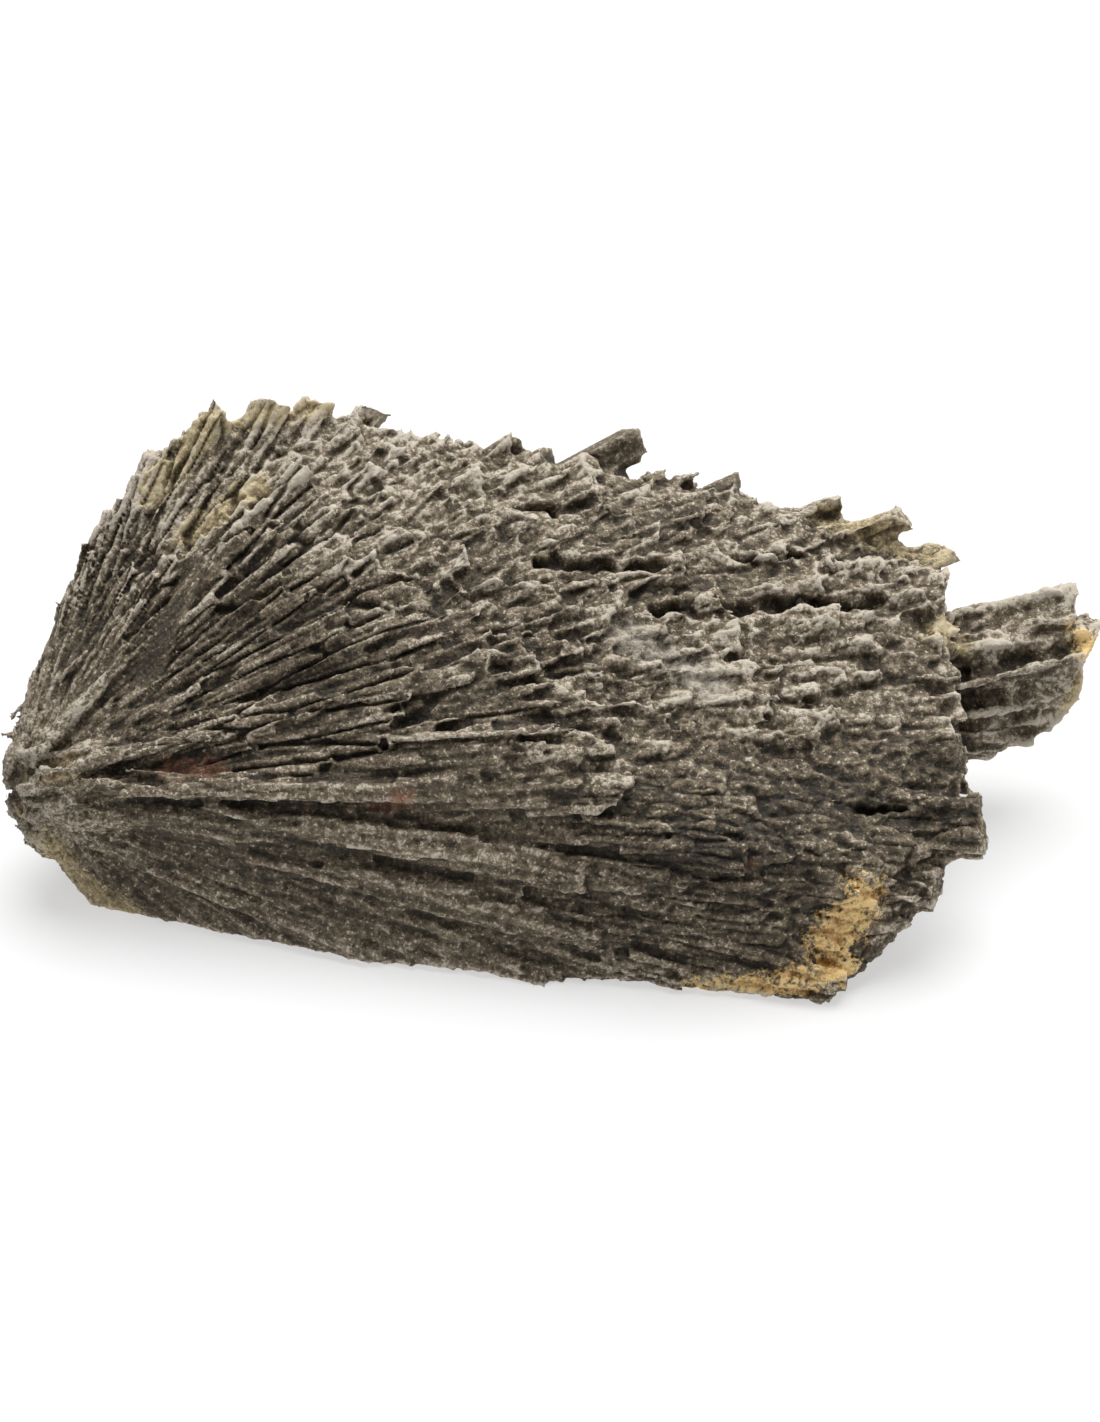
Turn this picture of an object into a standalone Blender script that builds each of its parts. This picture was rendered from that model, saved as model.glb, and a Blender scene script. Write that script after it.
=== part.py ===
"""Black kyanite: one grown-together spray of blades that fan out from a point at the left end.

The mass is about 108 mm long. X runs along it from the point where the blades meet to their far ends,
Y runs to the back and Z up. The origin is at the centre of the footprint, on the surface that it rests on.
All lengths below are in millimetres, and turn into metres where the meshes are made.
"""

import math
import random

import bmesh
import bpy
from mathutils import Matrix, Vector
from mathutils.bvhtree import BVHTree

MM = 0.001
SEED = 11
NAME = "kyanite_spray"

# The values below are measured from a point beside the middle of the footprint, which is here.
FOOTPRINT_CENTRE = Vector((0.4, 1.2, 0))

# Where the blades meet, low at the front of the left end.
HUB = Vector((-52.5, -6.5, 11.5))

# Corners of the outer form that the blades' tips reach, named by where they lie.
ENVELOPE = {
    "point": [(-52.9, -5.5, 14), (-52.4, -7, 7), (-46, 6, 1.5), (-51, 1, 9)],
    "left_edge": [(-52, 1.5, 19.7), (-46, 9.3, 31.3), (-40, 14.3, 38)],
    "crest": [(-36.3, 16, 39.8), (-30.3, 18.3, 41.6), (-24.5, 19.6, 41), (8.5, 21, 31)],
    "shoulder": [(31.5, 18.8, 28.2), (38.5, 13.5, 26.8), (40.3, 6, 25)],
    "front_ridge": [(-42.5, -9.5, 15.5), (1, -14.5, 21.5), (18, -19.5, 15.5), (31, -19, 12.5)],
    "top": [(10, 0, 28)],
    "far_end": [(40.5, -13, 12.5), (37, -17, 7.5), (33, -20.5, 3), (38.5, 0, 8), (39, 12, 12)],
    "front_foot": [(-45.5, -10.9, 0), (-18, -19.2, 0), (-1, -18.6, 0), (26.5, -25, 0), (29.4, -23, 3)],
    "sole": [(x, y, -1.2) for x, y in ((-38, -4), (-4, -14), (24, -20), (32, 12), (2, 21), (-26, 14))],
    "back": [(-38, 14, 3), (-20, 24, 3), (10, 26, 3), (35, 19, 4), (-28, 24, 26), (6, 27, 20)],
}

# The block that the blades grow from lies this far inside the outer form, except where it rests. Near the
# hub the relief is shallower: it is full from this distance on.
BLOCK_DEPTH = 2.5
LEAST_DEPTH_SHARE, FULL_DEPTH_REACH = 0.4, 36
SHARPEST_CORNER = 1.8  # a corner moves in by at most this many depths
REST_CORNERS = [(x, y, -1) for x, y in ((-24, -6), (-2, -11), (20, -13), (24, 6), (0, 14), (-20, 8))]

# Blades that stand out by themselves: root, tip, width and thickness.
LONE_BLADES = {
    "long_top": ((-6, 18, 28.5), (9, 22.2, 33.6), 5, 3.6),
    "second_top": ((3, 17.5, 27.5), (11.6, 19, 30.8), 3.4, 2.4),
    "dark_top": ((-13, 17, 29.5), (-3, 20.5, 34.4), 3.2, 2.4),
    "small_top": ((10, 17, 26.5), (17.8, 19, 30.2), 2, 2),
    "crest_left": ((-40, 7, 27), (-31.6, 17.6, 40.6), 4.4, 3.2),
    "crest_top": ((-36, 9, 28), (-27, 18.2, 41), 4.8, 3.4),
    "crest_right": ((-32, 11, 29), (-22.4, 19.6, 40.4), 4.6, 3.4),
    "crest_lobe": ((-26, 15, 31), (-17, 21.4, 38), 4.6, 3.6),
    "shoulder_left": ((18, 16.5, 24.5), (29.2, 18.6, 28), 4, 3),
    "shoulder_middle": ((24, 14, 24), (35.4, 16.6, 28.2), 4, 3),
    "shoulder_right": ((28, 11, 22), (40, 14, 25.8), 3.4, 2.8),
    "bright_flat": ((8, 1, 24), (26.5, 7.5, 27), 5.2, 2.4),
    "finger_top": ((30, 8.4, 14.4), (52.8, 12, 20), 7, 6.6),
    "finger_middle": ((30, 7.6, 10.4), (55.4, 9.6, 16.4), 8.6, 7.4),
    "finger_low": ((30, 6, 6.4), (51.4, 8, 12), 6.8, 6),
    "finger_foot": ((30, 6, 5), (45.8, 6.6, 8.8), 5, 4.6),
    "end_step": ((24, -3, 8), (41.2, -3, 12.4), 5, 4.6),
    "low_knob": ((24, -11.5, 9.6), (41.4, -13.5, 13), 7.2, 5.8),
    "low_step": ((24, -15.5, 7), (37.6, -17.2, 8.2), 5, 5),
    "lower_step": ((20, -17, 5.5), (34.4, -20, 4.6), 4.4, 4.6),
    "foot_corner": ((8, -18.5, 3), (27.8, -23, 2), 4.6, 4.4),
    "front_upper": ((-24, -14, 13.5), (4, -19, 11.2), 4.4, 3.4),
    "front_lower": ((-22, -15, 9.5), (-0.5, -19.4, 6), 4.4, 3.4),
    "front_slant": ((-4, -11.5, 20.5), (18.8, -20.4, 13.6), 4.2, 3.4),
    "left_spur": ((-44, -2.5, 19), (-53.2, -5, 13.8), 2.4, 2.4),
}

BLADE_COUNT = 300
TIP_TRIES = 24
TIP_SPREADS = (1.4, 5)  # tips stand this much further apart along the blades than across them
GRAZING_SHARE = 0.22  # the least share of tips that a face gets
UNDERSIDE_SHARE, DOWNWARD = 0.4, -0.8  # fewer tips where a face looks down
WIDTH_AT_HUB, WIDTH_PER_REACH = 1.9, 0.032
THICK_SHARES = (0.45, 0.75)
LENGTH_SHARES = (0.5, 0.9)  # of the distance from the hub to the tip
TIP_DEPTHS = (-1.5, 0.7)  # below the outer form
HUB_SCATTER = 1.4
ROOT_DEPTH, MOST_LIFT = 1.6, 4  # the blades of each face start from the hub, lifted towards that face
ROLL_SCATTER = math.radians(24)
LONE_ROLL_SCATTER = math.radians(8)
TAPER = (0.3, 0.62)  # the root as a share of the tip
BREAK_SLOPE = 0.8
SIDES = (4, 5, 6)
STEEP = 0.8  # a blade nearer than this to the outward direction takes its flat side from the vertical
FLOOR_CUT = Vector((200, 200, 40))


def convex_form(corners):
    """The convex form round a list of corners, as a triangulated bmesh."""
    form = bmesh.new()
    for corner in corners:
        form.verts.new(corner)
    hull = bmesh.ops.convex_hull(form, input=form.verts)
    inside = [g for g in hull["geom_interior"] if isinstance(g, bmesh.types.BMVert)]
    bmesh.ops.delete(form, geom=inside, context="VERTS")
    bmesh.ops.triangulate(form, faces=form.faces)
    bmesh.ops.recalc_face_normals(form, faces=form.faces)
    form.normal_update()
    return form


def depth_share(place):
    """How much of the full depth of the relief there is at a place: less near the hub."""
    return min(max((place - HUB).length / FULL_DEPTH_REACH, LEAST_DEPTH_SHARE), 1)


def tip_weight(face):
    """How many tips a face of the outer form gets: few where the blades run along it."""
    centre = face.calc_center_median()
    facing = (centre - HUB).normalized().dot(face.normal)
    share = max(facing, GRAZING_SHARE)
    if face.normal.z < DOWNWARD:
        share *= UNDERSIDE_SHARE
    return face.calc_area() * share


def point_on(face, dice):
    """An even random point on a triangle."""
    a, b = math.sqrt(dice.random()), dice.random()
    p, q, r = (v.co for v in face.verts)
    return p * (1 - a) + q * (a * (1 - b)) + r * (a * b)


def apart(tip, normal, other):
    """Distance between two tips, where distance along a blade that grazes the form counts less."""
    along = (tip - HUB).normalized()
    least, most = TIP_SPREADS
    spread = min(max(1 / max(along.dot(normal), 1 / most), least), most)
    step = other - tip
    lengthwise = step.dot(along)
    across = (step - along * lengthwise).length
    return math.hypot(lengthwise / spread, across)


def blade_axes(along, normal, roll):
    """The directions across a blade, out of its flat side and along it."""
    if along.dot(normal) > STEEP:
        normal = Vector((0, 0, 1))
    across = along.cross(normal).normalized()
    turn = Matrix.Rotation(roll, 3, along)
    return turn @ across, turn @ across.cross(along), along


def held_inside(tip, axes, width, thick, depth, form):
    """The tip, moved in until the blade lies at least this deep below every face of the outer form."""
    across, outward, _ = axes
    for face in form.faces:
        half = abs(across.dot(face.normal)) * width / 2 + abs(outward.dot(face.normal)) * thick / 2
        excess = (tip - face.verts[0].co).dot(face.normal) + half + depth
        if excess > 0:
            tip = tip - face.normal * excess
    return tip


def blade_tips(form, dice):
    """Evenly spread points on the outer form, with the normal there."""
    faces = list(form.faces)
    weights = [tip_weight(face) for face in faces]
    tips = []
    while len(tips) < BLADE_COUNT:
        best, best_gap = None, -1
        for face in dice.choices(faces, weights, k=TIP_TRIES):
            point = point_on(face, dice)
            gap = min((apart(point, face.normal, tip) for tip, _ in tips), default=math.inf)
            if gap > best_gap:
                best, best_gap = (point, face.normal.copy()), gap
        tips.append(best)
    return tips


def grown_blades(form, dice):
    """Root, tip, width, thickness and axes of each blade of the spray."""
    blades = []
    for point, normal in blade_tips(form, dice):
        scatter = Vector([dice.uniform(-HUB_SCATTER, HUB_SCATTER) for _ in range(3)])
        lift = min(max((point - HUB).dot(normal) - ROOT_DEPTH, 0), MOST_LIFT)
        reach = (point - HUB).length
        along = (point - HUB - scatter - normal * lift).normalized()
        width = WIDTH_AT_HUB + WIDTH_PER_REACH * reach
        thick = width * dice.uniform(*THICK_SHARES)
        depth = dice.uniform(*TIP_DEPTHS) * depth_share(point)
        length = reach * dice.uniform(*LENGTH_SHARES)
        axes = blade_axes(along, normal, dice.uniform(-ROLL_SCATTER, ROLL_SCATTER))
        tip = held_inside(point, axes, width, thick, depth, form)
        blades.append((tip - along * length, tip, width, thick, axes))
    return blades


def lone_blades(tree, dice):
    """The same five values for each blade that stands out by itself."""
    blades = []
    for root, tip, width, thick in LONE_BLADES.values():
        root, tip = Vector(root), Vector(tip)
        normal = tree.find_nearest(tip)[1]
        roll = dice.uniform(-LONE_ROLL_SCATTER, LONE_ROLL_SCATTER)
        blades.append((root, tip, width, thick, blade_axes((tip - root).normalized(), normal, roll)))
    return blades


def add_blade(name, blade, dice, collection):
    """A flattened crystal with four to six sides that widens from its root to a slanting broken tip."""
    root, tip, width, thick, axes = blade
    to_place = Matrix(axes).transposed()
    length = (tip - root).length
    slant = Vector([dice.uniform(-BREAK_SLOPE, BREAK_SLOPE) for _ in range(2)])
    taper = dice.uniform(*TAPER)
    sides = dice.choice(SIDES)
    shape = bmesh.new()
    bmesh.ops.create_cone(shape, cap_ends=True, segments=sides, radius1=taper, radius2=1, depth=2)
    end_rise = max(slant.x * v.co.x * width / 2 + slant.y * v.co.y * thick / 2 for v in shape.verts)
    for vert in shape.verts:
        place = Vector((vert.co.x * width / 2, vert.co.y * thick / 2, 0))
        if vert.co.z > 0:
            place.z = length - end_rise + slant.x * place.x + slant.y * place.y
        vert.co = (root + to_place @ place) * MM
    mesh = bpy.data.meshes.new(name)
    shape.to_mesh(mesh)
    shape.free()
    blade_object = bpy.data.objects.new(name, mesh)
    blade_object.hide_render = True
    blade_object.display_type = "WIRE"
    collection.objects.link(blade_object)


def block_object(form, collection):
    """The closed block inside the spray, a little smaller than the outer form."""
    corners = [Vector(corner) for corner in REST_CORNERS]
    for vert in form.verts:
        depth = BLOCK_DEPTH * depth_share(vert.co) * min(vert.calc_shell_factor(), SHARPEST_CORNER)
        corners.append(vert.co - vert.normal * depth)
    shape = convex_form(corners)
    bmesh.ops.scale(shape, vec=(MM, MM, MM), verts=shape.verts)
    mesh = bpy.data.meshes.new(NAME)
    shape.to_mesh(mesh)
    shape.free()
    block = bpy.data.objects.new(NAME, mesh)
    collection.objects.link(block)
    return block


def keep_outer_skin(mesh):
    """Drops the small pockets that the union leaves closed inside the mass."""
    shape = bmesh.new()
    shape.from_mesh(mesh)
    unseen = set(shape.verts)
    islands = []
    while unseen:
        stack = [unseen.pop()]
        island = list(stack)
        while stack:
            for edge in stack.pop().link_edges:
                for vert in edge.verts:
                    if vert in unseen:
                        unseen.remove(vert)
                        stack.append(vert)
                        island.append(vert)
        islands.append(island)
    islands.sort(key=len)
    pockets = [vert for island in islands[:-1] for vert in island]
    bmesh.ops.delete(shape, geom=pockets, context="VERTS")
    shape.to_mesh(mesh)
    shape.free()


def join_blades(block, blades):
    """Makes the block and the blades one closed mesh."""
    union = block.modifiers.new("grown_together", "BOOLEAN")
    union.operation = "UNION"
    union.solver = "EXACT"
    union.operand_type = "COLLECTION"
    union.collection = blades
    bpy.context.view_layer.update()
    graph = bpy.context.evaluated_depsgraph_get()
    joined = bpy.data.meshes.new_from_object(block.evaluated_get(graph))
    block.modifiers.remove(union)
    block.data = joined
    keep_outer_skin(joined)


def cut_foot(block, collection):
    """Cuts the underside off flat at Z 0, where the specimen rests."""
    bpy.ops.mesh.primitive_cube_add(size=1, location=(0, 0, -FLOOR_CUT.z / 2 * MM))
    cutter = bpy.context.active_object
    cutter.name = "floor_cutter"
    cutter.scale = FLOOR_CUT * MM
    cutter.hide_render = True
    cutter.display_type = "WIRE"
    for old in list(cutter.users_collection):
        old.objects.unlink(cutter)
    collection.objects.link(cutter)
    cut = block.modifiers.new("flat_foot", "BOOLEAN")
    cut.operation = "DIFFERENCE"
    cut.solver = "MANIFOLD"  # EXACT leaves part of this many-sided underside uncut
    cut.object = cutter


def kyanite_material():
    """Dark grey-brown stone with a dull sheen."""
    material = bpy.data.materials.new("black_kyanite")
    material.use_nodes = True
    surface = material.node_tree.nodes["Principled BSDF"]
    surface.inputs["Base Color"].default_value = (0.085, 0.075, 0.062, 1)
    surface.inputs["Roughness"].default_value = 0.55
    surface.inputs["Metallic"].default_value = 0
    return material


def main():
    for old in list(bpy.data.objects):
        bpy.data.objects.remove(old)
    scene = bpy.context.scene
    part = bpy.data.collections.new("black_kyanite")
    helpers = bpy.data.collections.new("helpers")
    blade_group = bpy.data.collections.new("blades")
    for collection in (part, helpers, blade_group):
        scene.collection.children.link(collection)

    dice = random.Random(SEED)
    form = convex_form([corner for corners in ENVELOPE.values() for corner in corners])
    tree = BVHTree.FromBMesh(form)
    blades = grown_blades(form, dice) + lone_blades(tree, dice)
    for number, blade in enumerate(blades):
        add_blade(f"blade_{number:03d}", blade, dice, blade_group)

    block = block_object(form, part)
    form.free()
    join_blades(block, blade_group)
    block.location = -FOOTPRINT_CENTRE * MM
    cut_foot(block, helpers)
    block.data.materials.clear()
    block.data.materials.append(kyanite_material())


main()
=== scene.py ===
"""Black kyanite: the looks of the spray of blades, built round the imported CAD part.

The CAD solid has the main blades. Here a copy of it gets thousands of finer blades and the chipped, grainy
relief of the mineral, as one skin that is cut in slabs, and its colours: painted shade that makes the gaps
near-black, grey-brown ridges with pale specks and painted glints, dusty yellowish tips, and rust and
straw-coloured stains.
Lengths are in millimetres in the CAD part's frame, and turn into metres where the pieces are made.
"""

import math

import bmesh
import bpy
import numpy as np
from mathutils import Matrix, Vector
from mathutils.geometry import delaunay_2d_cdt


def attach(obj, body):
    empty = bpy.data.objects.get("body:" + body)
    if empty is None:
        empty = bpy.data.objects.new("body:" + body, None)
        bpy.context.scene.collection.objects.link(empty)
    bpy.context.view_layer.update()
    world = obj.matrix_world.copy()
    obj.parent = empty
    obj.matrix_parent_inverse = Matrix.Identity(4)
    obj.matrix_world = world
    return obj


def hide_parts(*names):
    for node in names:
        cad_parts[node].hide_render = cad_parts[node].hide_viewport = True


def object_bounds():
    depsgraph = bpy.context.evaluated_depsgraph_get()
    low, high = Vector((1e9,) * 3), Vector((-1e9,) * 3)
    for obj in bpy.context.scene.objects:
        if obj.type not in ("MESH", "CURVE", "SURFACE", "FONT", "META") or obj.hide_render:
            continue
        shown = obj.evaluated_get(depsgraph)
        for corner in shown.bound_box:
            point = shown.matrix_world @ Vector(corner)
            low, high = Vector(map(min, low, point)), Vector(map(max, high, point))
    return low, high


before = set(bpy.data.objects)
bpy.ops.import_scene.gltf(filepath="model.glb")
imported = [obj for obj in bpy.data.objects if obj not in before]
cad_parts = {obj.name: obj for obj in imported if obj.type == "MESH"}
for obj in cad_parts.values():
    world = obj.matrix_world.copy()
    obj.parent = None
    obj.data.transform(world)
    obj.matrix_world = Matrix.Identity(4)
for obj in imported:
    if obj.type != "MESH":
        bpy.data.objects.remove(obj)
CAD_LOW, CAD_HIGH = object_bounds()

MM = 0.001
MM_SCALE = Matrix.Scale(MM, 4)
SEED = 5
NODE = "kyanite_spray"
HUB = np.array((-52.9, -7.7, 11.5))  # where the blades meet

# Corners of the outer form that the CAD part's blades reach.
OUTER_FORM = {
    "point": [(-53.3, -6.7, 14), (-52.8, -8.2, 7), (-46.4, 4.8, 1.5), (-51.4, -0.2, 9)],
    "left_edge": [(-52.4, 0.3, 19.7), (-46.4, 8.1, 31.3), (-40.4, 13.1, 38)],
    "crest": [(-36.7, 14.8, 39.8), (-30.7, 17.1, 41.6), (-24.9, 18.4, 41), (8.1, 19.8, 31)],
    "shoulder": [(31.1, 17.6, 28.2), (38.1, 12.3, 26.8), (39.9, 4.8, 25)],
    "front_ridge": [(-42.9, -10.7, 15.5), (0.6, -15.7, 21.5), (17.6, -20.7, 15.5), (30.6, -20.2, 12.5)],
    "top": [(9.6, -1.2, 28)],
    "far_end": [(40.1, -14.2, 12.5), (36.6, -18.2, 7.5), (32.6, -21.7, 3), (38.1, -1.2, 8), (38.6, 10.8, 12)],
    "front_foot": [(-45.9, -12.1, 0), (-18.4, -20.4, 0), (-1.4, -19.8, 0), (26.1, -26.2, 0), (29, -24.2, 3)],
    "low_back": [(-38.4, 12.8, 3), (-20.4, 22.8, 3), (9.6, 24.8, 3), (34.6, 17.8, 4)],
    "high_back": [(-28.4, 22.8, 26), (5.6, 25.8, 20)],
}
FINGER = [  # the bundle of blades that sticks out at the far end, without its outermost edges
    (31, 4, 3), (31, 10.5, 3), (31, 4.2, 16), (31, 11, 17),
    (45.5, 3.2, 8), (45, 8.5, 5.8), (49.6, 4, 9.4), (49, 9.5, 8.6),
    (52.4, 5.2, 13.6), (52.4, 10.2, 14.6), (52.5, 7, 19.9), (50.9, 12, 21.4),
]
BARS = [  # thick blades, with the radius at each end
    ((-47, -9.8, 13.6), (4, -14.6, 19.4), 1.5, 0.4),  # under the front ridge
    ((-47.5, -10.2, 11.2), (-6, -16, 15), 1.9, 0.9),
    ((8, -21.6, 1.7), (28, -24.1, 2.3), 1.5, 1.9),  # along the foot at the right
    ((-7, 16.6, 28.2), (8, 20.3, 32.6), 1.7, 1.4),  # the long blade on the top edge
]
# How far the filling lies inside these corners.
FILL_DEPTH, SIDE_FILL_DEPTH, FRONT_FILL_DEPTH, FINGER_FILL_DEPTH = 2.3, 0.9, 0.4, 0.2

# Fine blades. Their width and length grow with the distance from the hub, in shares of it.
BLADES_ON_FILL, BLADES_ON_CAD = ((8500, 6500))
BLADE_WIDTH, WIDTH_PER_REACH = 0.62, 0.0115
CROWDING = 1.6  # the narrower the blades are, the closer together they stand
THICK_SHARES = (0.45, 0.9)
LENGTH, LENGTH_PER_REACH = 5, 0.1
SIZE_SCATTER = (0.55, 1.6)
TIP_HEIGHTS = (-0.3, 0.5)
END_HEIGHTS = (-0.9, 1.7)  # where the surface faces away from the hub, such as on broken ends
FACING_AWAY = 0.55  # how much it does so at the least
BUNDLE_ANGLE, BUNDLE_LENGTH = 0.062, 24  # neighbouring blades form a bundle
BUNDLE_HEIGHT, BUNDLE_FLOOR = 1.5, 0.3  # and rise together where they grow on the filling
LONGEST_SHARE = 0.8  # the longest blade, as a share of its distance from the hub
ROOT_SINK = 0.7  # how far the root lies under the surface at the least
MOST_BACKWARD = -0.25  # no blade grows where the surface faces back to the hub more than this
DIRECTION_SCATTER, HUB_DIRECTION_SCATTER = 0.05, 0.3
ROLL_SCATTER, HUB_ROLL_SCATTER = 0.45, 1.2
BREAK_SHARE = 0.8  # how far the corners of a broken end lie back, in blade widths
TIP_TAPER, ROOT_TAPER = (0.5, 0.95), 0.8
SIDES = 6

# Ranges over which one zone fades into the next, in millimetres.
NEAREST_RANGE, FAR_RANGE, HUB_RANGE = (14, 24), (36, 54), (6, 17)  # distance from the hub
CREST_RANGE, HIGH_CREST_RANGE = (26, 36), (33, 38)  # height
CALM_RANGE, FINGER_RANGE = (-8, 14), (40, 43)  # place along X
# The same for the colours.
PALE_HUB_RANGE, SOFT_HUB_RANGE, FAN_RANGE = (5, 15), (6, 16), (24, 50)
PALE_CREST_RANGE, RIGHT_HEIGHT_RANGE, LEFT_HEIGHT_RANGE = (24, 37), (15, 23), (14, 22)
RIGHT_RANGE, PALE_CALM_RANGE, PALE_FINGER_RANGE = (-12, 20), (-26, 0), (40.5, 43)

# The skin's relief: chips in cells that follow the fan, gaps between bundles, lumps and grains.
CHIP_WIDTHS, CHIP_SALTS = (0.07, 0.034, 0.0185), (10, 20, 30)  # near the hub, in the middle and at the far ends
LONG_CHIP, SHORT_CHIP = 11, 2.4
CHIP_HEIGHT, CHIP_GAP, BUNDLE_GAP = 0.34, 0.2, 0.75
LUMP_WIDTH, LUMP_LENGTH, HUB_LUMP, GRAIN, FINE_GRAIN = 0.015, 1.7, 1.7, 0.75, 0.45
GROOVE_DEPTH, WANDER, WANDER_LENGTH = 1.5, 0.7, 1.4  # how far a groove's edge wanders, and over what length
BUNDLE_SALT, BLADE_TONE_SALT, GRAIN_SALT, FINE_GRAIN_SALT, LUMP_SALT, HUB_LUMP_SALT = 50, 70, 41, 42, 43, 44
WANDER_SALTS = (61, 62, 63)

# The painted shade of hollows and gaps: how often places are averaged with their neighbours, and how deep the
# darkest are.
HOLLOW_ROUNDS, GAP_ROUNDS, OUTWARD_ROUNDS = 10, 90, 60
DARK_HOLLOW, DARK_GAP = 0.16, 0.8
TONE_WIDTH, TONE_LENGTH = 0.03, 9

# Single features: a line from one place to another, and the distance that the feature reaches from it.
GROOVES = [
    ((-1.7, 4.5, 30.2), (11.9, 4.5, 29.6), 1.0),
    ((10, 0.7, 27.6), (31.6, 5.4, 25.0), 1.1),
    ((13.6, -16.2, 15.7), (33, -14.2, 14.9), 0.75),
    ((-10, 8, 32), (-1, 10.5, 32.5), 0.8),
    ((18, 8, 28), (33, 10.5, 26.6), 0.8),
    ((-22, -6, 22.5), (-2, -8.5, 24.2), 0.7),
]
SMOOTH_FACES = [
    ((-39.5, -3.2, 22.6), (-34.6, 4.2, 30.4), 1.5),
    ((-30.6, 1.2, 27.9), (-25.1, 4.6, 31.8), 1.1),
    ((-5, 17.2, 29.5), (8.6, 21, 33.6), 3.6),
    ((-12, 16.2, 30.5), (-3.4, 19.3, 34.4), 2.4),
    ((11, 16, 27), (17.4, 17.8, 30.2), 1.8),
]
OCHRE = [
    ((26, -22.4, 5), (29, -20.6, 9), 3.6),
    ((22, -24.6, 2.2), (28, -24.6, 3.4), 2.2),
    ((13, -23, 1), (24, -25.2, 2), 1.8),
    ((52.6, 6.2, 18.6), (51.2, 6.4, 20.8), 2.0),
    ((-51.8, -8.2, 9.6), (-50.2, -8.6, 12.8), 1.2),
]
STRAW = [
    ((-50.2, -9.0, 7), (-46.8, -10.6, 3), 2.4),
    ((-46.8, -10.6, 3), (-42, -12.6, 0.4), 2.6),
    ((-50.5, -7.6, 13), (-46.5, -8.8, 15.4), 2.2),
    ((-39.5, 9.5, 35.2), (-33.8, 14.2, 40.3), 2.6),
    ((-33.8, 14.2, 40.3), (-22.5, 17, 40.4), 2.4),
    ((-28.4, 0.6, 27.9), (-22.1, 5.7, 31.7), 1.3),
    ((-36, 6, 32.4), (-29, 9.5, 35.5), 2.2),
    ((27, 15, 28.4), (38.3, 11.1, 26), 2.6),
    ((36, 2, 25), (39.5, 5.5, 20), 2.4),
    ((53.2, 6.2, 17), (51, 5, 12.5), 2.0),
    ((40.6, -15.2, 14.2), (39.2, -16, 11.2), 1.4),
]
RUST = [
    ((-37.4, -10.6, 16.2), (-33, -11, 16.8), 2.1),
    ((-17, -14.2, 15.4), (-14.6, -15.8, 17.2), 1.7),
    ((-4.8, -13.8, 20.2), (-2.4, -13.8, 20.6), 1.4),
    ((12, -20.4, 14.6), (18, -20.8, 13.4), 1.2),
    ((-50.8, -8.4, 12.4), (-48.4, -9, 14.4), 0.9),
]
NET = [
    ((5.6, -1.4, 25.6), (9.9, -3.6, 24.6), 3.4),
    ((9.9, -3.6, 24.6), (15, -6, 22.6), 3.0),
]

# The skin round it all.
SKIN_CELL = 0.25
SLABS = 6
INSIDE_LINES, SAME_PLACE = 1, 0.00001  # the cuts are filled inside their outlines, and closer corners are one

# Floor, light and camera.
FLOOR_SIZE, FLOOR_GREY, FLOOR_GLOW, SKY = 4, 0.4, 0.53, 0.3
SUN_STRENGTH, SUN_SPREAD, SUN_BACK, SUN_SIDE = 4.0, 55, 26, 6
VIEW_ELEVATION, VIEW_DISTANCE, LENS = 38, 474, 120
VIEW_FOOT, VIEW_ABOVE = (-0.7, -1.2, 0), 12.9


def hashed(cells, salt):
    """A repeatable number from 0 to 1 for each whole-numbered cell."""
    whole = cells.astype(np.int64).view(np.uint64)
    mixed = whole[:, 0] * np.uint64(73856093)
    mixed ^= whole[:, 1] * np.uint64(19349663)
    mixed ^= whole[:, 2] * np.uint64(83492791)
    mixed ^= np.uint64(salt * 2654435761)
    mixed = (mixed ^ (mixed >> np.uint64(15))) * np.uint64(2246822519)
    mixed = (mixed ^ (mixed >> np.uint64(13))) * np.uint64(3266489917)
    mixed ^= mixed >> np.uint64(16)
    return (mixed & np.uint64(0xFFFFFF)) / float(0xFFFFFF)


def smooth_noise(places, salt):
    """Smooth noise from -1 to 1, with one swell in each cell of side 1."""
    cell = np.floor(places)
    part = places - cell
    fade = part * part * (3 - 2 * part)
    total = np.zeros(len(places))
    for corner in np.ndindex(2, 2, 2):
        weight = np.prod(np.where(corner, fade, 1 - fade), axis=1)
        total += weight * hashed(cell + corner, salt)
    return 2 * total - 1


def chips(places, salt):
    """Jittered cells of side 1: the random height of the one that a place is in, and how far its edge is."""
    cell = np.floor(places)
    nearest = np.full(len(places), 9.0)
    second = nearest.copy()
    height = np.zeros(len(places))
    for step in np.ndindex(3, 3, 3):
        near = cell + np.array(step) - 1
        centre = near + np.stack([hashed(near, salt + k) for k in (1, 2, 3)], axis=1)
        gap = np.linalg.norm(places - centre, axis=1)
        closer = gap < nearest
        second = np.where(closer, nearest, np.minimum(second, gap))
        nearest = np.where(closer, gap, nearest)
        height = np.where(closer, hashed(near, salt + 4), height)
    return height, second - nearest


def ramp(values, low, high):
    """0 below low, 1 above high, and smooth between them."""
    share = np.clip((values - low) / (high - low), 0, 1)
    return share * share * (3 - 2 * share)


def unit(vectors):
    return vectors / np.linalg.norm(vectors, axis=1, keepdims=True)


def polar(places):
    """Each place as seen from the hub: its two angles in radians and its distance."""
    offset = places - HUB
    reach = np.linalg.norm(offset, axis=1)
    return np.arctan2(offset[:, 1], offset[:, 0]), np.arcsin(offset[:, 2] / reach), reach


def vertex_places(mesh):
    places = np.empty(len(mesh.vertices) * 3)
    mesh.vertices.foreach_get("co", places)
    return places.reshape(-1, 3)


def vertex_normals(mesh):
    normals = np.empty(len(mesh.vertices) * 3)
    mesh.vertices.foreach_get("normal", normals)
    return normals.reshape(-1, 3)


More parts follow.
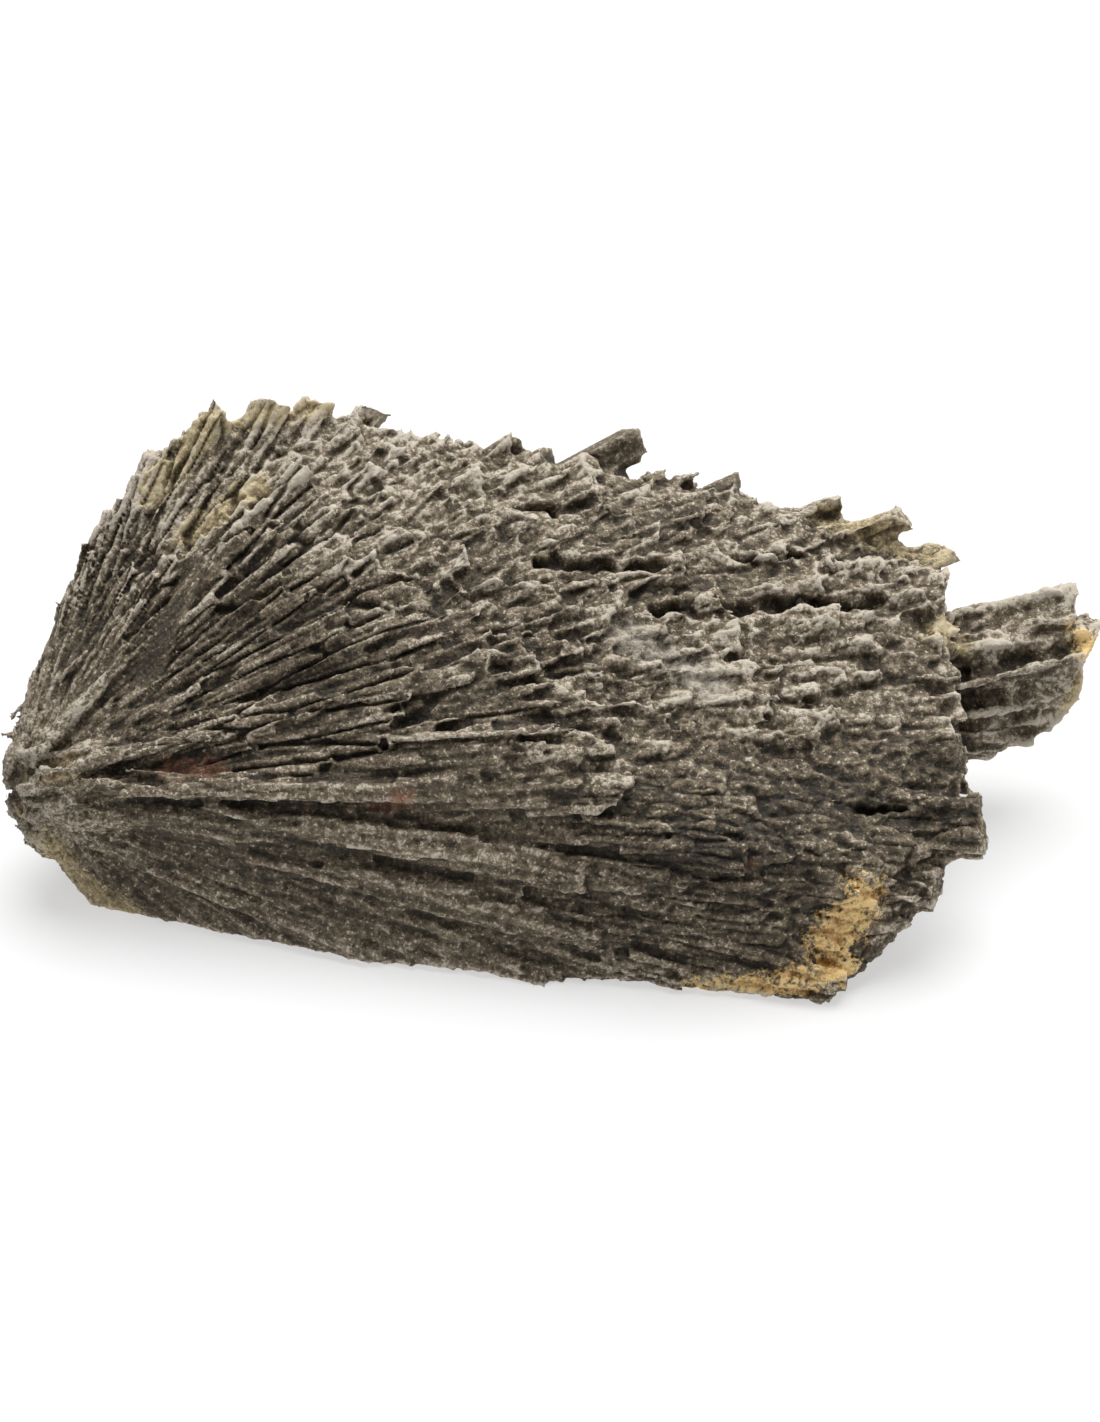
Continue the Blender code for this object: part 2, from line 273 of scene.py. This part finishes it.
def triangle_corners(mesh):
    mesh.calc_loop_triangles()
    corners = np.empty(len(mesh.loop_triangles) * 3, np.int32)
    mesh.loop_triangles.foreach_get("vertices", corners)
    return corners.reshape(-1, 3)


def surface_points(places, corners, count, dice):
    """Points spread over a surface, closer together near the hub, and the normal at each."""
    first, second, third = (places[corners[:, k]] for k in range(3))
    crosses = np.cross(second - first, third - first)
    areas = np.linalg.norm(crosses, axis=1)
    reach = np.linalg.norm((first + second + third) / 3 - HUB, axis=1)
    weights = areas / (BLADE_WIDTH + WIDTH_PER_REACH * reach) ** CROWDING
    picks = dice.choice(len(corners), size=count, p=weights / weights.sum())
    shares = dice.dirichlet((1, 1, 1), count)
    points = sum(shares[:, k:k + 1] * part[picks] for k, part in enumerate((first, second, third)))
    return points, crosses[picks] / areas[picks, None]


def fan_cells(places, width, length):
    """Places counted in cells that follow the fan: an angle wide and high, and a distance from the hub long."""
    turn, rise, reach = polar(places)
    return np.stack((turn / width, rise / width, reach / length), axis=1)


def bundles(places):
    """A number from 0 to 1 that neighbouring blades share, and how far the edge of their bundle is."""
    return chips(fan_cells(places, BUNDLE_ANGLE, BUNDLE_LENGTH), BUNDLE_SALT)


def frontness(places):
    """1 on the steep, calm front face below the ridge, 0 above and behind it."""
    return ramp(-places[:, 1] - 0.55 * (places[:, 2] - 3), 3, 8)


def near_lines(places, lines):
    """1 on the lines, falling to 0 at each one's own distance from it."""
    nearest = np.zeros(len(places))
    for start, end, radius in lines:
        start, end = np.array(start, float), np.array(end, float)
        way = end - start
        share = np.clip((places - start) @ way / (way @ way), 0, 1)
        distance = np.linalg.norm(places - start - share[:, None] * way, axis=1)
        nearest = np.maximum(nearest, 1 - distance / radius)
    return nearest


def convex_solid(corners):
    """Vertices, triangles and vertex normals of the convex form round the corners."""
    shape = bmesh.new()
    for corner in corners:
        shape.verts.new(corner)
    hull = bmesh.ops.convex_hull(shape, input=shape.verts)
    inside = hull["geom_interior"] + hull["geom_unused"]
    unused = {part for part in inside if isinstance(part, bmesh.types.BMVert)}
    bmesh.ops.delete(shape, geom=list(unused), context="VERTS")
    bmesh.ops.recalc_face_normals(shape, faces=shape.faces)
    bmesh.ops.triangulate(shape, faces=shape.faces)
    shape.normal_update()
    shape.verts.index_update()
    places = np.array([vert.co for vert in shape.verts])
    normals = np.array([vert.normal for vert in shape.verts])
    triangles = np.array([[vert.index for vert in face.verts] for face in shape.faces])
    shape.free()
    return places, triangles, normals


def filling():
    """Convex solids a little inside the CAD part's outline that close the deepest gaps between its blades."""
    solids = []
    corners, _, normals = convex_solid([corner for group in OUTER_FORM.values() for corner in group])
    front = ramp(-normals[:, 1], 0.15, 0.6)
    left = ramp(-normals[:, 0], 0.2, 0.6)
    near_hub = 1 - ramp(np.linalg.norm(corners - HUB, axis=1), 15, 35)
    side = np.maximum(left, near_hub)
    depth = FILL_DEPTH + (SIDE_FILL_DEPTH - FILL_DEPTH) * side
    depth += (FRONT_FILL_DEPTH - depth) * front
    solids.append(convex_solid(corners - normals * depth[:, None])[:2])
    corners, _, normals = convex_solid(FINGER)
    solids.append(convex_solid(corners - normals * FINGER_FILL_DEPTH)[:2])
    solids += [bar(*measures) for measures in BARS]
    return joined(solids)


def bar(start, end, start_radius, end_radius):
    """An eight-sided bar from one place to another."""
    start, end = np.array(start), np.array(end)
    side = np.cross(end - start, (0, 0, 1))
    up = np.cross(side, end - start)
    angles = np.arange(8)[:, None] * math.pi / 4
    spokes = side / np.linalg.norm(side) * np.cos(angles) + up / np.linalg.norm(up) * np.sin(angles)
    return convex_solid(np.concatenate((start + start_radius * spokes, end + end_radius * spokes)))[:2]


def joined(solids):
    """Several solids' vertices and triangles as one list of each."""
    starts = np.cumsum([0] + [len(places) for places, _ in solids])
    triangles = [corners + start for (_, corners), start in zip(solids, starts)]
    return np.concatenate([places for places, _ in solids]), np.concatenate(triangles)


def fine_blades(points, normals, bundled, dice):
    """Vertices and triangles of small blades, one at each point, that rise as they lead away from the hub."""
    radial = unit(points - HUB)
    resting = (normals[:, 2] < -0.8) & (points[:, 2] < 0.5)
    smooth = near_lines(points, SMOOTH_FACES) > 0.15
    kept = ((radial * normals).sum(1) > MOST_BACKWARD) & ~resting & ~smooth
    points, normals, radial = points[kept], normals[kept], radial[kept]
    count = len(points)
    reach = np.linalg.norm(points - HUB, axis=1, keepdims=True)
    length = (LENGTH + LENGTH_PER_REACH * reach) * dice.uniform(*SIZE_SCATTER, (count, 1))
    length = np.minimum(length, LONGEST_SHARE * reach)
    facing_away = (radial * normals).sum(1, keepdims=True) > FACING_AWAY
    height = np.where(
        facing_away,
        dice.uniform(*END_HEIGHTS, (count, 1)),
        dice.uniform(*TIP_HEIGHTS, (count, 1)),
    )
    front = frontness(points)[:, None]
    if bundled:
        share = (1 - 0.8 * front) * (0.4 + 0.6 * ramp(reach, 25, 50))
        height += BUNDLE_HEIGHT * share * (bundles(points)[0][:, None] - BUNDLE_FLOOR)
    crest = ramp(points[:, 2:], *HIGH_CREST_RANGE)
    finger = ramp(points[:, :1], *FINGER_RANGE)
    lower = np.maximum(0.5 * front, np.maximum(0.4 * crest, 0.75 * finger))
    height *= (1 - lower) * (0.25 + 0.75 * ramp(reach, 8, 20))
    tip = points + normals * height
    scatter = HUB_DIRECTION_SCATTER + (DIRECTION_SCATTER - HUB_DIRECTION_SCATTER) * ramp(reach, 5, 18)
    along = radial + dice.normal(0, 1, (count, 3)) * scatter
    slope = (along * normals).sum(1, keepdims=True)
    along = unit(along + normals * np.maximum(0, (height + ROOT_SINK) / length - slope))
    across = np.cross(normals, along) + dice.normal(0, 0.01, (count, 3))
    across = unit(across - along * (across * along).sum(1, keepdims=True))
    upright = np.cross(along, across)
    roll_scatter = ROLL_SCATTER + (HUB_ROLL_SCATTER - ROLL_SCATTER) * (1 - ramp(reach, 20, 50))
    roll = dice.normal(0, 1, (count, 1)) * roll_scatter
    side = across * np.cos(roll) + upright * np.sin(roll)
    up = np.cross(along, side)

    size = dice.uniform(*SIZE_SCATTER, (count, 1))
    width = (BLADE_WIDTH + WIDTH_PER_REACH * reach) * size
    thick = width * dice.uniform(*THICK_SHARES, (count, 1))
    root = tip - along * length
    taper = dice.uniform(*TIP_TAPER, (count, 1))
    rings = []
    for centre, share in ((root, ROOT_TAPER), (tip, taper)):
        for k in range(SIDES):
            angle = 2 * math.pi * (k + dice.uniform(-0.3, 0.3, (count, 1))) / SIDES
            spoke = side * (np.cos(angle) * width / 2) + up * (np.sin(angle) * thick / 2)
            rings.append(centre + spoke * share)
    for k in range(SIDES):
        rings[SIDES + k] = rings[SIDES + k] - along * width * dice.uniform(0, BREAK_SHARE, (count, 1))
    rings += [root, tip - along * width * BREAK_SHARE / 3]
    vertices = np.stack(rings, axis=1).reshape(-1, 3)

    pattern = []
    for k in range(SIDES):
        after = (k + 1) % SIDES
        pattern.append((k, after, SIDES + after))
        pattern.append((k, SIDES + after, SIDES + k))
        pattern.append((2 * SIDES, after, k))
        pattern.append((2 * SIDES + 1, SIDES + k, SIDES + after))
    starts = np.arange(count)[:, None, None] * len(rings)
    return vertices, (np.array(pattern)[None] + starts).reshape(-1, 3)


def skinned(vertices, faces):
    """One closed skin round overlapping solids."""
    rough = bpy.data.meshes.new("rough")
    rough.from_pydata(vertices.tolist(), [], faces.tolist())
    rough.update()
    holder = bpy.data.objects.new("rough", rough)
    bpy.context.scene.collection.objects.link(holder)
    remesh = holder.modifiers.new("skin", "REMESH")
    remesh.mode = "VOXEL"
    remesh.voxel_size = SKIN_CELL
    graph = bpy.context.evaluated_depsgraph_get()
    skin = bpy.data.meshes.new_from_object(holder.evaluated_get(graph))
    bpy.data.objects.remove(holder)
    bpy.data.meshes.remove(rough)
    return skin


def drop_islands(mesh):
    """Keeps the mesh's largest connected part, without loose islands and closed inner pockets."""
    ends = edge_ends(mesh)
    label = np.arange(len(mesh.vertices))
    while True:
        lowest = np.minimum(label[ends[:, 0]], label[ends[:, 1]])
        after = label.copy()
        np.minimum.at(after, label[ends[:, 0]], lowest)
        np.minimum.at(after, label[ends[:, 1]], lowest)
        after = after[after]
        if (after == label).all():
            break
        label = after
    main = np.bincount(label).argmax()
    shape = bmesh.new()
    shape.from_mesh(mesh)
    shape.verts.ensure_lookup_table()
    loose = [shape.verts[k] for k in np.flatnonzero(label != main)]
    bmesh.ops.delete(shape, geom=loose, context="VERTS")
    shape.to_mesh(mesh)
    shape.free()


def edge_ends(mesh):
    ends = np.empty(len(mesh.edges) * 2, np.int32)
    mesh.edges.foreach_get("vertices", ends)
    return ends.reshape(-1, 2)


def smoothed(values, ends, rounds):
    """Each vertex's values, averaged with its neighbours' that many times."""
    count = len(values)
    first, second = ends[:, 0], ends[:, 1]
    degree = np.bincount(first, minlength=count) + np.bincount(second, minlength=count)
    for _ in range(rounds):
        columns = []
        for k in range(values.shape[1]):
            column = values[:, k]
            total = np.bincount(first, column[second], count) + np.bincount(second, column[first], count)
            columns.append((column + total) / (degree + 1))
        values = np.stack(columns, axis=1)
    return values


def relief_height(places, normals):
    """How far the relief stands out: long ridges along the blades, and chips and grains where they are broken."""
    _, _, reach = polar(places)
    front = frontness(places)
    cut_across = ramp(np.abs((unit(places - HUB) * normals).sum(1)), 0.25, 0.55)
    nearest = 1 - ramp(reach, *NEAREST_RANGE)
    far = ramp(reach, *FAR_RANGE)
    hub = 1 - ramp(reach, *HUB_RANGE)
    crest = ramp(places[:, 2], *CREST_RANGE)
    calm = front * (1 - ramp(places[:, 0], *CALM_RANGE))
    finger = ramp(places[:, 0], *FINGER_RANGE)
    broken = np.maximum(np.maximum(far, crest), cut_across) * (1 - 0.6 * front)
    rough = np.maximum(broken, hub)

    height = np.zeros(len(places))
    for width, share, salt in zip(CHIP_WIDTHS, (nearest, 1 - nearest - far, far), CHIP_SALTS):
        for length, strength, shift in ((LONG_CHIP, 1 - 0.7 * broken, 0), (SHORT_CHIP, 0.15 + 0.5 * broken, 5)):
            chip, edge = chips(fan_cells(places, width, length), salt + shift)
            height += share * strength * (CHIP_HEIGHT * (chip - 0.5) - CHIP_GAP * (1 - ramp(edge, 0, 0.3)))
    _, edge = bundles(places)
    gap = BUNDLE_GAP * (1 - ramp(edge, 0, 0.16))
    height -= gap * (1 - front) * (1 - nearest) * (1 - cut_across) * (1 - 0.5 * far)
    height *= (1 + 0.8 * front - 1.45 * calm) * (1 - 0.7 * hub) * (1 - 0.4 * finger)

    height += 0.2 * rough * smooth_noise(fan_cells(places, LUMP_WIDTH, LUMP_LENGTH), LUMP_SALT)
    height += 0.35 * hub * smooth_noise(places / HUB_LUMP, HUB_LUMP_SALT)
    height += (0.05 + 0.08 * rough + 0.02 * front) * smooth_noise(places / GRAIN, GRAIN_SALT)
    height += (0.05 + 0.05 * rough + 0.02 * front) * smooth_noise(places / FINE_GRAIN, FINE_GRAIN_SALT)
    height *= 1 - ramp(near_lines(places, SMOOTH_FACES), 0, 0.3)
    shift = [smooth_noise(places / WANDER_LENGTH, salt) for salt in WANDER_SALTS]
    grooves = near_lines(places + WANDER * np.stack(shift, axis=1), GROOVES)
    return height - GROOVE_DEPTH * ramp(grooves, 0, 0.7)


def set_values(mesh, name, values):
    attribute = mesh.attributes.new(name, "FLOAT", "POINT")
    attribute.data.foreach_set("value", values.astype(np.float32))


def close_cut(shape, rim, facing):
    """Flat triangles between the edges where a plane across X has cut the shape."""
    number = {}
    for edge in rim:
        edge.smooth = False
        for corner in edge.verts:
            number.setdefault(corner, len(number))
    corners = list(number)
    places = [Vector(corner.co.yz) for corner in corners]
    lines = [(number[edge.verts[0]], number[edge.verts[1]]) for edge in rim]
    _, _, triangles, sources, _, _ = delaunay_2d_cdt(places, lines, [], INSIDE_LINES, SAME_PLACE)
    for triangle in triangles:
        ends = [corners[sources[k][0]] for k in triangle[::facing] if sources[k]]
        if len(set(ends)) == 3 and shape.faces.get(ends) is None:
            shape.faces.new(ends).smooth = False


def slab(skin, material, low, high, name):
    """The part of the skin between two planes across X, closed where it is cut."""
    shape = bmesh.new()
    shape.from_mesh(skin)
    for place, facing in ((low, -1), (high, 1)):
        if place is None:
            continue
        cut = bmesh.ops.bisect_plane(
            shape,
            geom=shape.verts[:] + shape.edges[:] + shape.faces[:],
            plane_co=(place, 0, 0),
            plane_no=(facing, 0, 0),
            clear_outer=True,
        )
        rim = [part for part in cut["geom_cut"] if isinstance(part, bmesh.types.BMEdge)]
        close_cut(shape, rim, facing)
    mesh = bpy.data.meshes.new(name)
    shape.to_mesh(mesh)
    shape.free()
    mesh.transform(MM_SCALE)
    mesh.materials.append(material)
    piece = bpy.data.objects.new(name, mesh)
    bpy.context.scene.collection.objects.link(piece)
    return piece


class Nodes:
    """Adds nodes to a material, and joins them."""

    def __init__(self, material):
        material.use_nodes = True
        self.tree = material.node_tree
        self.tree.nodes.clear()

    def add(self, kind, inputs=(), **settings):
        node = self.tree.nodes.new("ShaderNode" + kind)
        for name, value in settings.items():
            setattr(node, name, value)
        for name, value in dict(inputs).items():
            self.put(node, name, value)
        return node

    def put(self, node, name, value):
        if isinstance(value, bpy.types.NodeSocket):
            self.tree.links.new(value, node.inputs[name])
        else:
            node.inputs[name].default_value = value

    def math(self, operation, first, second):
        node = self.add("Math", {0: first, 1: second}, operation=operation)
        return node.outputs[0]

    def vector(self, operation, first, second=(0, 0, 0)):
        node = self.add("VectorMath", {0: first, 1: second}, operation=operation)
        return node.outputs["Value" if operation == "LENGTH" else 0]

    def scaled(self, vector, scale):
        node = self.add("VectorMath", {0: vector, "Scale": scale}, operation="SCALE")
        return node.outputs[0]

    def noise(self, vector, detail=2.0, roughness=0.5, along=None):
        inputs = {"Vector": vector, "Scale": 1.0, "Detail": detail, "Roughness": roughness}
        if along is not None:
            inputs["W"] = along
        node = self.add("TexNoise", inputs, noise_dimensions="3D" if along is None else "4D")
        return node.outputs["Fac"]

    def value(self, name):
        return self.add("Attribute", attribute_name=name, attribute_type="GEOMETRY").outputs["Fac"]

    def fit(self, value, low, high, to_low=0.0, to_high=1.0):
        inputs = {"Value": value, "From Min": low, "From Max": high, "To Min": to_low, "To Max": to_high}
        return self.add("MapRange", inputs, clamp=True).outputs[0]

    def mix(self, share, first, second):
        node = self.add("Mix", data_type="RGBA", clamp_factor=True)
        self.put(node, 0, share)
        self.put(node, 6, first)
        self.put(node, 7, second)
        return node.outputs[2]

    def colours(self, value, stops):
        node = self.add("ValToRGB", {"Fac": value})
        elements = node.color_ramp.elements
        while len(elements) < len(stops):
            elements.new(0.5)
        for element, (place, colour) in zip(elements, stops):
            element.position = place
            element.color = (*colour, 1)
        return node.outputs[0]


def kyanite_material():
    material = bpy.data.materials.new("black_kyanite")
    n = Nodes(material)
    place = n.scaled(n.add("TexCoord").outputs["Object"], 1 / MM)
    offset = n.vector("SUBTRACT", place, tuple(HUB))
    reach = n.vector("LENGTH", offset)
    direction = n.vector("NORMALIZE", offset)
    streaks = n.noise(n.scaled(direction, 30.0), 3.0, 0.6, n.math("MULTIPLY", reach, 0.15))
    chips_fine = n.noise(n.scaled(direction, 70.0), 2.0, 0.6, n.math("MULTIPLY", reach, 0.45))
    grain = n.noise(n.scaled(place, 2.4), 4.0, 0.7)
    blotches = n.noise(n.scaled(place, 0.22), 2.0, 0.5)

    # Painted glints: small bright specks in the base colour, partly also the mineral's own pale specks.
    glints_and_specks = n.fit(n.noise(n.scaled(place, 3.1), 1.0, 0.5), 0.6, 0.7)
    light = 0.44
    for value, middle, strength in (
        # painted shade: darker in hollows, gaps and grooves
        (n.value("hollow_shade"), 0.0, -0.27),
        (n.value("gap"), 0.0, -0.16),
        (n.value("paleness"), 0.0, 0.26),
        (streaks, 0.5, 0.5),
        (chips_fine, 0.5, 0.6),
        (grain, 0.5, 1.35),
        (blotches, 0.5, 0.3),
        (glints_and_specks, 0.0, 0.34),
    ):
        change = n.math("MULTIPLY", n.math("SUBTRACT", value, middle), strength)
        light = n.math("ADD", change, light)
    base = n.colours(light, [
        (0.0, (0.012, 0.009, 0.005)),
        (0.3, (0.042, 0.032, 0.019)),
        (0.55, (0.122, 0.094, 0.058)),
        (0.8, (0.290, 0.236, 0.164)),
        (1.0, (0.640, 0.570, 0.465)),
    ])
    stain_edges = n.math("MULTIPLY", n.math("SUBTRACT", n.noise(n.scaled(place, 1.5), 4.0, 0.75), 0.5), 2.8)
    for name, strength, lightest, dark, pale in (
        ("net", 0.7, 0.85, (0.08, 0.068, 0.05, 1), (0.60, 0.54, 0.45, 1)),
        ("straw", 0.55, 0.9, (0.04, 0.03, 0.013, 1), (0.76, 0.61, 0.32, 1)),
        ("ochre", 1.0, 0.58, (0.42, 0.18, 0.035, 1), (1.0, 0.72, 0.32, 1)),
        ("rust", 0.65, 0.8, (0.10, 0.038, 0.02, 1), (0.36, 0.16, 0.09, 1)),
    ):
        tint = n.mix(n.fit(light, 0.05, lightest), dark, pale)
        reached = n.fit(n.math("ADD", n.value(name), stain_edges), 0.24, 0.6, 0.0, strength)
        base = n.mix(n.math("MULTIPLY", reached, n.fit(n.value(name), 0.0, 0.12)), base, tint)

    bumps = n.math("ADD", n.math("MULTIPLY", chips_fine, 0.5), n.math("MULTIPLY", grain, 0.9))
    bump = n.add("Bump", {"Height": bumps, "Distance": 0.4 * MM, "Strength": 1.0})
    shader = n.add("BsdfPrincipled", {
        "Base Color": base,
        "Roughness": n.fit(light, 0.15, 0.75, 0.42, 0.75),
        "Specular IOR Level": 0.4,
        "Normal": bump.outputs[0],
    })
    output = n.add("OutputMaterial")
    n.tree.links.new(shader.outputs[0], output.inputs["Surface"])
    return material


def colour_values(skin, places):
    """Per-vertex values for the material: painted shade in small hollows and wide gaps, how pale the mineral is,
    and the stains.
    """
    ends = edge_ends(skin)
    outward = vertex_normals(skin)
    near_mean = smoothed(places, ends, HOLLOW_ROUNDS)
    wide_mean = smoothed(near_mean, ends, GAP_ROUNDS)
    outward_mean = unit(smoothed(outward, ends, OUTWARD_ROUNDS))
    # Painted shade: the colour darkens in small hollows, wide gaps and grooves, and lightens on bulges, partly for
    # the paler dust on the ridges.
    hollow_shade = ((near_mean - places) * outward).sum(1) / DARK_HOLLOW
    gap = ((wide_mean - places) * outward_mean).sum(1) / DARK_GAP
    grooves = ramp(near_lines(places, GROOVES), 0, 0.5)
    _, _, reach = polar(places)
    soft = 1 - 0.6 * (1 - ramp(reach, *SOFT_HUB_RANGE))
    set_values(skin, "hollow_shade", np.clip(hollow_shade, -0.55, 1) * soft)
    set_values(skin, "gap", np.clip(gap, -1, 1) * soft + 1.5 * grooves)

    x, y, z = places.T
    front = frontness(places)
    fan = 1 - ramp(reach, *FAN_RANGE)
    hub = 1 - ramp(reach, *PALE_HUB_RANGE)
    crest = ramp(z, *PALE_CREST_RANGE)
    right = ramp(x, *RIGHT_RANGE) * ramp(z, *RIGHT_HEIGHT_RANGE)
    left = ramp(-x - 0.75 * z, 6, 14) * ramp(z, *LEFT_HEIGHT_RANGE)
    finger = ramp(x, *PALE_FINGER_RANGE)
    calm = front * (1 - ramp(x, *PALE_CALM_RANGE))
    under_ridge = ramp(-y, 11, 15) * ramp(x, -2, 12) * ramp(z, 10, 14) * (1 - ramp(z, 17, 20))
    bundle_tone, _ = bundles(places)
    blade_tone, _ = chips(fan_cells(places, TONE_WIDTH, TONE_LENGTH), BLADE_TONE_SALT)
    paleness = np.maximum(1.1 * crest, 0.75 * right) - 0.5 * fan + 1.5 * hub + 0.5 * calm * (1 - hub)
    paleness += 0.35 - 0.1 * calm + 0.05 * front - 0.65 * under_ridge + 0.7 * finger + 0.7 * left
    paleness -= 0.7 * ramp(near_lines(places, SMOOTH_FACES), 0, 0.4)
    paleness += (0.7 * (bundle_tone - 0.5) + 0.6 * (blade_tone - 0.5)) * (1 - 0.6 * calm)
    set_values(skin, "paleness", paleness)
    for name, lines in (("ochre", OCHRE), ("straw", STRAW), ("rust", RUST), ("net", NET)):
        set_values(skin, name, near_lines(places, lines))


def build_spray():
    dice = np.random.default_rng(SEED)
    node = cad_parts[NODE]
    cad = (vertex_places(node.data) / MM, triangle_corners(node.data))
    fill = filling()
    solids = [cad, fill]
    for (places, corners), count, bundled in ((fill, BLADES_ON_FILL, True), (cad, BLADES_ON_CAD, False)):
        solids.append(fine_blades(*surface_points(places, corners, count, dice), bundled, dice))
    low, high = np.array(CAD_LOW) / MM, np.array(CAD_HIGH) / MM
    everything, triangles = joined(solids)
    skin = skinned(np.clip(everything, low, high), triangles)
    drop_islands(skin)

    ends = edge_ends(skin)
    places = smoothed(vertex_places(skin), ends, 1)
    normals = unit(smoothed(vertex_normals(skin), ends, 3))
    places = np.clip(places + normals * relief_height(places, normals)[:, None], low, high)
    skin.vertices.foreach_set("co", places.ravel())
    skin.update()
    colour_values(skin, places)

    skin.polygons.foreach_set("use_smooth", np.ones(len(skin.polygons), bool))
    material = kyanite_material()
    centres = np.empty(len(skin.polygons) * 3)
    skin.polygons.foreach_get("center", centres)
    cuts = [None, *np.quantile(centres[::3], np.arange(1, SLABS) / SLABS), None]
    for number, (low_cut, high_cut) in enumerate(zip(cuts, cuts[1:]), 1):
        piece = slab(skin, material, low_cut, high_cut, f"kyanite_spray_{number}")
        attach(piece, "root")
        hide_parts(NODE)
    bpy.data.meshes.remove(skin)


def floor_and_lights():
    bpy.ops.mesh.primitive_plane_add(size=FLOOR_SIZE)
    floor = bpy.context.object
    floor.name = "floor"
    material = bpy.data.materials.new("floor")
    n = Nodes(material)
    shader = n.add("BsdfPrincipled", {
        "Base Color": (FLOOR_GREY, FLOOR_GREY, FLOOR_GREY, 1),
        "Roughness": 0.9,
        "Emission Color": (1, 1, 1, 1),
        "Emission Strength": FLOOR_GLOW,
    })
    output = n.add("OutputMaterial")
    n.tree.links.new(shader.outputs[0], output.inputs["Surface"])
    floor.data.materials.append(material)

    world = bpy.data.worlds.new("studio")
    bpy.context.scene.world = world
    world.use_nodes = True
    world.node_tree.nodes["Background"].inputs["Color"].default_value = (1, 1, 1, 1)
    world.node_tree.nodes["Background"].inputs["Strength"].default_value = SKY

    sun = bpy.data.lights.new("key", "SUN")
    sun.energy = SUN_STRENGTH
    sun.angle = math.radians(SUN_SPREAD)
    lamp = bpy.data.objects.new("key", sun)
    direction = Vector((math.sin(math.radians(SUN_SIDE)), math.sin(math.radians(SUN_BACK)), 1))
    lamp.rotation_euler = direction.to_track_quat("Z", "Y").to_euler()
    bpy.context.scene.collection.objects.link(lamp)


def photo_camera():
    """The photograph's view: from the front, and well above the horizon."""
    elevation = math.radians(VIEW_ELEVATION)
    forward = Vector((0, math.cos(elevation), -math.sin(elevation)))
    up = Vector((0, math.sin(elevation), math.cos(elevation)))
    target = Vector(VIEW_FOOT) + VIEW_ABOVE * up
    camera = bpy.data.cameras.new("camera")
    camera.lens = LENS
    camera.clip_start = 0.01
    holder = bpy.data.objects.new("camera", camera)
    holder.location = (target - VIEW_DISTANCE * forward) * MM
    holder.rotation_euler = (-forward).to_track_quat("Z", "Y").to_euler()
    bpy.context.scene.collection.objects.link(holder)
    bpy.context.scene.camera = holder
    bpy.context.scene.view_settings.view_transform = "Standard"


build_spray()
floor_and_lights()
photo_camera()
